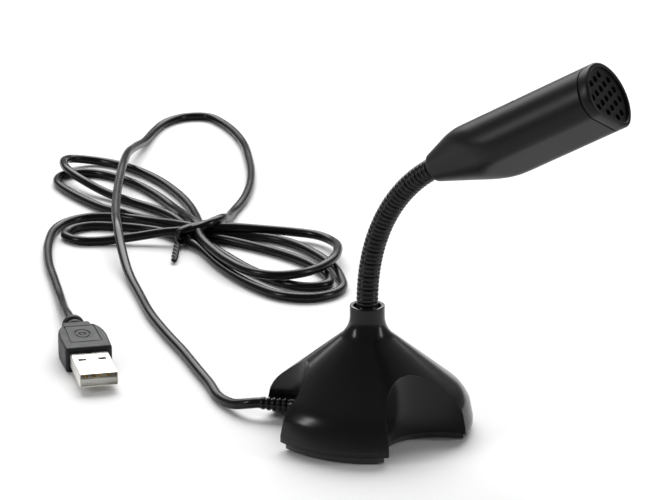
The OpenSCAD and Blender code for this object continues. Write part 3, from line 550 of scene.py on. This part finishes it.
def lower_bell(off, steps=20, lip=5):
    """The bell below its arches' tops: the feet's outsides, the arches' walls, and the outline at the lower edge."""
    d, b, foot = BITE_AT, BITE_R + off, FOOT_R - off
    widest = math.acos((d * d + b * b - foot * foot) / (2 * d * b))
    levels = []
    for k in range(steps + 1):
        a = widest * k / steps
        r = math.sqrt(d * d + b * b - 2 * d * b * math.cos(a))
        levels.append((r, meridian_z(r, off), math.atan2(b * math.sin(a), d - b * math.cos(a))))
    r, z, phi = levels[-1]
    levels += [(r, z + (LIFT - z) * (m + 1) / lip, phi) for m in range(lip)]
    parts, outline = [], []
    for f in range(3):
        start = BASE_TURN - math.pi / 6 + TAU / 3 * f
        rows = []
        for r, z, phi in levels:
            angles = [start + phi + (TAU / 3 - 2 * phi) * j / PER_FOOT for j in range(PER_FOOT + 1)]
            rows.append([(r * math.cos(a), r * math.sin(a), z) for a in angles])
        parts.append(grid(rows, close_cols=False))
        edge = [(r, z, phi) for r, z, phi in reversed(levels)] + [(r, z, -phi) for r, z, phi in levels[1:]]
        end = start + TAU / 3
        # the lip's points stand over the corner's foot, so the wall leaves them out
        edges = [(r * math.cos(end - phi), r * math.sin(end - phi), z) for r, z, phi in edge[lip:len(edge) - lip]]
        parts.append(wall(edges, lip, levels[steps][1]))
        outline += [(x, y) for x, y, z in rows[-1]] + [(x, y) for x, y, z in edges[1:-1]]
    return parts, outline, levels[0]


def wall(edges, lip, lip_z):
    """An arch's wall, from its edge straight down to the lower edge, in rows that match the lip's."""
    rows = []
    for x, y, z in edges:
        upper = [(x, y, z + (lip_z - z) * t / 6) for t in range(6)]
        lower = [(x, y, lip_z + (LIFT - lip_z) * m / lip) for m in range(lip + 1)]
        rows.append(upper + lower)
    return grid(rows, close_cols=False)


def bell():
    outer, outer_line, (r_out, _, _) = lower_bell(0)
    inner, inner_line, (r_in, _, _) = lower_bell(WALL)
    rows = []
    slope_top = flare_x - FLARE_R * math.sin(SLOPE)
    for k in range(9):
        r = r_out + (slope_top - r_out) * k / 8
        rows.append(circle_row(r, meridian_z(r, 0)))
    for k in range(1, 13):
        a = SLOPE + (math.pi / 2 - SLOPE) * k / 12
        rows.append(circle_row(flare_x - FLARE_R * math.sin(a), flare_z - FLARE_R * math.cos(a)))
    for z in (flare_z + 1, flare_z + 2, COLLAR_TOP - 0.5):
        rows.append(circle_row(COLLAR_R, z))
    rim = 0.35
    for r, z, start in ((COLLAR_R - rim, COLLAR_TOP - rim, 0), (BORE_R + rim, COLLAR_TOP - rim, 90)):
        for s in range(5):
            a = math.radians(start + 90 * s / 4)
            rows.append(circle_row(r + rim * math.cos(a), z + rim * math.sin(a)))
    for r, z in ((BORE_R, 33), (BORE_R, SHELF_TOP), (THREAD_R, SHELF_TOP), (THREAD_R, SHELF_TOP - SHELF_T)):
        rows.append(circle_row(r, z))
    ceiling = SHELF_TOP - SHELF_T
    r_ceiling = crown_x + ((CROWN_R - WALL) - (ceiling - CROWN_Z) * math.cos(SLOPE)) / math.sin(SLOPE)
    for k in range(4):
        r = r_ceiling + (r_in - r_ceiling) * k / 3
        rows.append(circle_row(r, meridian_z(r, WALL)))
    rim_rows = [[(x, y, LIFT) for x, y in line] for line in (outer_line, inner_line)]
    return joined(grid(rows), *outer, *inner, grid(rim_rows))


base_bell = add_mesh("base_bell", *bell())
soften(base_bell, 0.45, 3, 34)
finish_piece(base_bell, "gloss_black_plastic", "base", "base_shell")

# ---- gooseneck: a ringed stretch on each body, with a ball at its lower end that fills the joint ----
joints = frame["joints"]
joint_at = [Vector(j["pos_m"]) / MM for j in joints]
LINK = (joint_at[1] - joint_at[0]).length
HEAD_BEND = math.radians(60)
head_dir = Vector((math.sin(HEAD_BEND), 0, math.cos(HEAD_BEND)))
FOOT_LOW, NECK_END = 28.0, 1.6
RING_PITCH, RING_ROWS, RING_SIDES = LINK / 3, 8, 40
NECK_R, GROOVE_R, NECK_BORE, BALL_R, BALL_REACH = 3.22, 2.82, 1.7, 2.78, 1.2
knots = [joint_at[0] - Vector((0, 0, LINK)), *joint_at, joint_at[-1] + head_dir * LINK,
    joint_at[-1] + head_dir * LINK * 2]


def ring_radius(s):
    """Rings stand between grooves, and a groove lies on each joint."""
    x = 2 * ((s / RING_PITCH) % 1.0) - 1
    return GROOVE_R + (NECK_R - GROOVE_R) * math.sqrt(max(0.0, 1 - abs(x) ** 2.6))


def neck_row(s, r):
    """Circle of points about the neck's line, s from the first joint along it."""
    if s <= 0:
        p, v = Vector((0, 0, joint_at[0].z + s)), Vector((0, 0, 1))
    else:
        i = min(int(s / LINK), len(joint_at) - 1)
        a, b, c, d = knots[i:i + 4]
        t = s / LINK - i
        p = 0.5 * (2 * b + (c - a) * t + (2 * a - 5 * b + 4 * c - d) * t * t + (3 * b - a - 3 * c + d) * t ** 3)
        v = ((c - a) + 2 * (2 * a - 5 * b + 4 * c - d) * t + 3 * (3 * b - a - 3 * c + d) * t * t).normalized()
    side = Vector((0, 1, 0))
    front = side.cross(v)
    return [tuple(p + (side * math.cos(a) + front * math.sin(a)) * r)
        for a in [TAU * j / RING_SIDES for j in range(RING_SIDES)]]


def ringed_stretch(start, end, ball):
    count = round((end - start) / RING_PITCH * RING_ROWS)
    rows = []
    if ball:
        rows += [neck_row(start - t, math.sqrt(BALL_R ** 2 - t * t)) for t in (BALL_REACH, 0.9, 0.6, 0.3, 0.02)]
    rows += [neck_row(start + (end - start) * i / count, ring_radius(start + (end - start) * i / count))
        for i in range(count + 1)]
    low = start - BALL_REACH if ball else start
    rows += [neck_row(s, NECK_BORE) for s in (end, (low + end) / 2, low)]
    return grid(rows, close_rows=True)


for k in range(len(joints) + 1):
    start = (k - 1) * LINK if k else FOOT_LOW - joint_at[0].z
    end = k * LINK if k < len(joints) else start + NECK_END
    piece = add_mesh(f"gooseneck_{k:02d}", *ringed_stretch(start, end, k > 0))
    replaced = ["gooseneck_foot"] if k == 0 else [f"neck_link_{k:02d}"] if k < len(joints) else []
    finish_piece(piece, "black_spring_steel", joints[k - 1]["child"] if k else "base", *replaced)

# ---- head ----
HEAD_R, HEAD_FLAT, HEAD_CORNER, HEAD_WALL = 10.3, 7.3, 5.0, 1.6
HEAD_UP, SNOUT_R, SNOUT_START = 3.0, 4.2, 1.0
SNOUT_ANGLE, BEVEL_AT = math.radians(19), 16.7
SNOUT_SLOPE, BEVEL_SLOPE = math.tan(SNOUT_ANGLE), math.tan(math.radians(20))
HEAD_LEN, CAP_START, SEAM = 62.0, 59.0, 0.3
head_place = Matrix.Translation(joint_at[-1]) @ Matrix.Rotation(HEAD_BEND, 4,
    "Y") @ Matrix.Rotation(math.radians(-34), 4, "Z")
SIDES = 160


def section_radius(phi, off):
    """Distance from the neck's axis to the head's section, drawn in by off."""
    r, corner, flat = HEAD_R - off, HEAD_CORNER - off, HEAD_FLAT - off
    reach, cx = HEAD_R - HEAD_CORNER, HEAD_FLAT - HEAD_CORNER
    cy = math.sqrt(reach * reach - cx * cx)
    c, s = math.cos(phi), math.sin(phi)
    found = []
    t = HEAD_UP * c + math.sqrt(r * r - (HEAD_UP * s) ** 2)
    if t * c <= HEAD_UP + cx * r / reach + 1e-9:
        found.append(t)
    for y in (-cy, cy):
        dot, side = (HEAD_UP + cx) * c + y * s, (HEAD_UP + cx) * s - y * c
        if abs(side) < corner:
            found.append(dot + math.sqrt(corner * corner - side * side))
    if c > 0.01 and abs((HEAD_UP + flat) / c * s) <= cy:
        found.append((HEAD_UP + flat) / c)
    return max(found)


def soft_min(a, b, k):
    h = max(k - abs(a - b), 0) / k
    return min(a, b) - h * h * k / 4


def head_row(z, off, room=True):
    row = []
    for j in range(SIDES):
        phi = TAU * j / SIDES
        r = section_radius(phi, off)
        if room:
            cone = SNOUT_R + (z - SNOUT_START) * SNOUT_SLOPE - off / math.cos(SNOUT_ANGLE)
            r = soft_min(r, cone, 1.3)
            if z < BEVEL_AT + 2 and math.cos(phi) > 0.05:
                r = soft_min(r, (HEAD_UP + HEAD_FLAT - off - (BEVEL_AT - z) * BEVEL_SLOPE) / math.cos(phi), 0.5)
        row.append((r * math.cos(phi), r * math.sin(phi), z))
    return row


def around(r, z):
    return [(r * math.cos(TAU * j / SIDES), r * math.sin(TAU * j / SIDES), z) for j in range(SIDES)]


shell_end = CAP_START - SEAM
rows = [around(3.32, SNOUT_START + 0.15), around(3.5, SNOUT_START)]
rows += [[(x * 0.985, y * 0.985, z) for x, y, z in head_row(SNOUT_START + 0.001, 0)]]
rows += [head_row(SNOUT_START + 0.25 + 0.5 * k, 0) for k in range(41)]
rows += [head_row(z, 0) for z in (22, 23.5, 25.5, 28, 31, 34, 37, 41, 45, 49, 53, 56, 57.6, 58.3)]
rows += [head_row(shell_end - 0.12, 0), head_row(shell_end - 0.03, 0.05, False), head_row(shell_end, 0.14, False)]
rows += [head_row(shell_end, HEAD_WALL, False), head_row(45, HEAD_WALL, False), head_row(30, HEAD_WALL, False)]
rows += [head_row(z, HEAD_WALL) for z in (22, 16, 13, 10)]
rows += [around(3.32, 10)]
head_tube = add_mesh("head_tube", *grid(rows, close_rows=True), head_place)
slot_place = head_place @ Matrix.Translation((HEAD_UP, 0, 34.85)) @ Matrix.Rotation(math.radians(214), 4, "Z")
cut(head_tube, box_tool((3, 4, 1.7), (HEAD_R + 0.5, 0, 0), slot_place))
mark_sharp(head_tube, 38)
finish_piece(head_tube, "head_black_plastic", "head", "head_shell")

RIM, RECESS, PLATE_T, HOLE_R, HOLE_STEP, HOLE_SIDES = 1.3, 1.0, 1.0, 1.0, 2.2, 24
rows = [head_row(z, off, False) for off, z in (
    (2.9, 55.0), (1.8, 55.0), (1.7, 55.1), (1.7, CAP_START), (0.12, CAP_START), (0.03, CAP_START + 0.05), (0,
        CAP_START + 0.16), (0, 60.2), (0, 61.3),
    (0.05, 61.55), (0.17, 61.8), (0.36, 61.95), (0.58, HEAD_LEN), (1.05, HEAD_LEN), (1.2, 61.96), (1.28,
        61.88), (RIM, 61.75), (RIM, 61.2), (RIM, 60.0), (2.9, 60.0), (2.9, 57.5))]
cap_rim = add_mesh("cap_rim", *grid(rows, close_rows=True), head_place)
finish_piece(cap_rim, "head_black_plastic", "head", "grille_cap")


def plate():
    """The perforated plate: a flat sheet with rounded holes through it."""
    def outline(off):
        return [(x, y) for x, y, z in head_row(0, off, False)]
    centres = []
    for i in range(-4, 5):
        for j in range(-4, 5):
            if (i + j) % 2 == 0 and math.hypot(i,
                    j) * HOLE_STEP < HEAD_R - RIM - HOLE_R - 0.6 and i * HOLE_STEP < HEAD_FLAT - RIM - HOLE_R - 0.4:
                centres.append((HEAD_UP + i * HOLE_STEP, j * HOLE_STEP))

    def hole(c, r):
        return [(c[0] + x, c[1] + y) for x, y in ring_section(r, HOLE_SIDES)]
    top, bottom = HEAD_LEN - RECESS, HEAD_LEN - RECESS - PLATE_T
    parts = []
    for z, r, off in ((top, HOLE_R + 0.12, RIM - 0.1), (bottom, HOLE_R, RIM - 0.1)):
        points = outline(off)
        loops = [list(range(len(points)))]
        for c in centres:
            loops.append(list(range(len(points), len(points) + HOLE_SIDES)))
            points += hole(c, r)
        edges = [(a, b) for loop in loops for a, b in zip(loop, loop[1:] + loop[:1])]
        made, _, triangles, _, _, _ = delaunay_2d_cdt([Vector(p) for p in points], edges, [], 0, 1e-6)
        keep = []
        for t in triangles:
            m = sum((made[i] for i in t), Vector((0, 0))) / len(t)
            inside = all(math.hypot(m.x - c[0], m.y - c[1]) > r * 0.9 for c in centres)
            phi = math.atan2(m.y, m.x)
            if inside and m.length < section_radius(phi, off) + 1e-6:
                keep.append(tuple(t))
        parts.append(([(p.x, p.y, z) for p in made], keep))
    for c in centres:
        parts.append(grid([[(x, y, z) for x, y in hole(c, r)] for z,
            r in ((top, HOLE_R + 0.12), (top - 0.06, HOLE_R + 0.04), (top - 0.15, HOLE_R), (bottom, HOLE_R))]))
    parts.append(grid([[(x, y, z) for x, y in outline(RIM - 0.1)] for z in (top, bottom)]))
    return joined(*parts)


grille = add_mesh("grille_plate", *plate(), head_place, smooth=False)
finish_piece(grille, "head_black_plastic", "head")

# ---- floor and light ----
floor = add_mesh("floor", [(-3000, -3000, 0), (3000, -3000, 0), (3000, 3000, 0), (-3000, 3000, 0)],
    [(0, 1, 2, 3)], smooth=False)
floor.data.materials.append(material("pale_floor", (0.86, 0.86, 0.86), 0.7, mottle=0.01, mottle_scale=4,
    rough_spread=0.03, grain=0.02, grain_scale=400))

world = bpy.data.worlds.new("studio")
world.use_nodes = True
world.node_tree.nodes["Background"].inputs["Color"].default_value = (1, 1, 1, 1)
world.node_tree.nodes["Background"].inputs["Strength"].default_value = 0.16
bpy.context.scene.world = world
bpy.context.scene.view_settings.view_transform = "Standard"


def softbox(name, where, target, size, power):
    light = bpy.data.lights.new(name, "AREA")
    light.shape, light.size, light.size_y = "RECTANGLE", size[0], size[1]
    light.energy = power
    obj = bpy.data.objects.new(name, light)
    bpy.context.scene.collection.objects.link(obj)
    obj.location = where
    obj.rotation_mode = "QUATERNION"
    obj.rotation_quaternion = (target - where).to_track_quat("-Z", "Y")


centre = Vector((-0.05, 0.05, 0.04))
level_back = Vector((back.x, back.y, 0)).normalized()
softbox("key_box", centre - level_back * 1.08 + Vector((0, 0, 0.95)), centre, (2.0, 1.15), 22)
softbox("left_box", centre - right * 1.0 + level_back * 0.3 + Vector((0, 0, 0.55)), centre, (0.18, 0.5), 3.4)
softbox("right_box", centre + right * 1.05 + level_back * 0.2 + Vector((0, 0, 0.4)), centre, (0.16, 0.6), 3.2)
sun = bpy.data.objects.new("sky_light", bpy.data.lights.new("sky_light", "SUN"))
sun.data.energy, sun.data.angle = 1.5, math.radians(50)
sun.rotation_mode = "QUATERNION"
sun.rotation_quaternion = (level_back - Vector((0, 0, 1.1))).to_track_quat("-Z", "Y")
bpy.context.scene.collection.objects.link(sun)
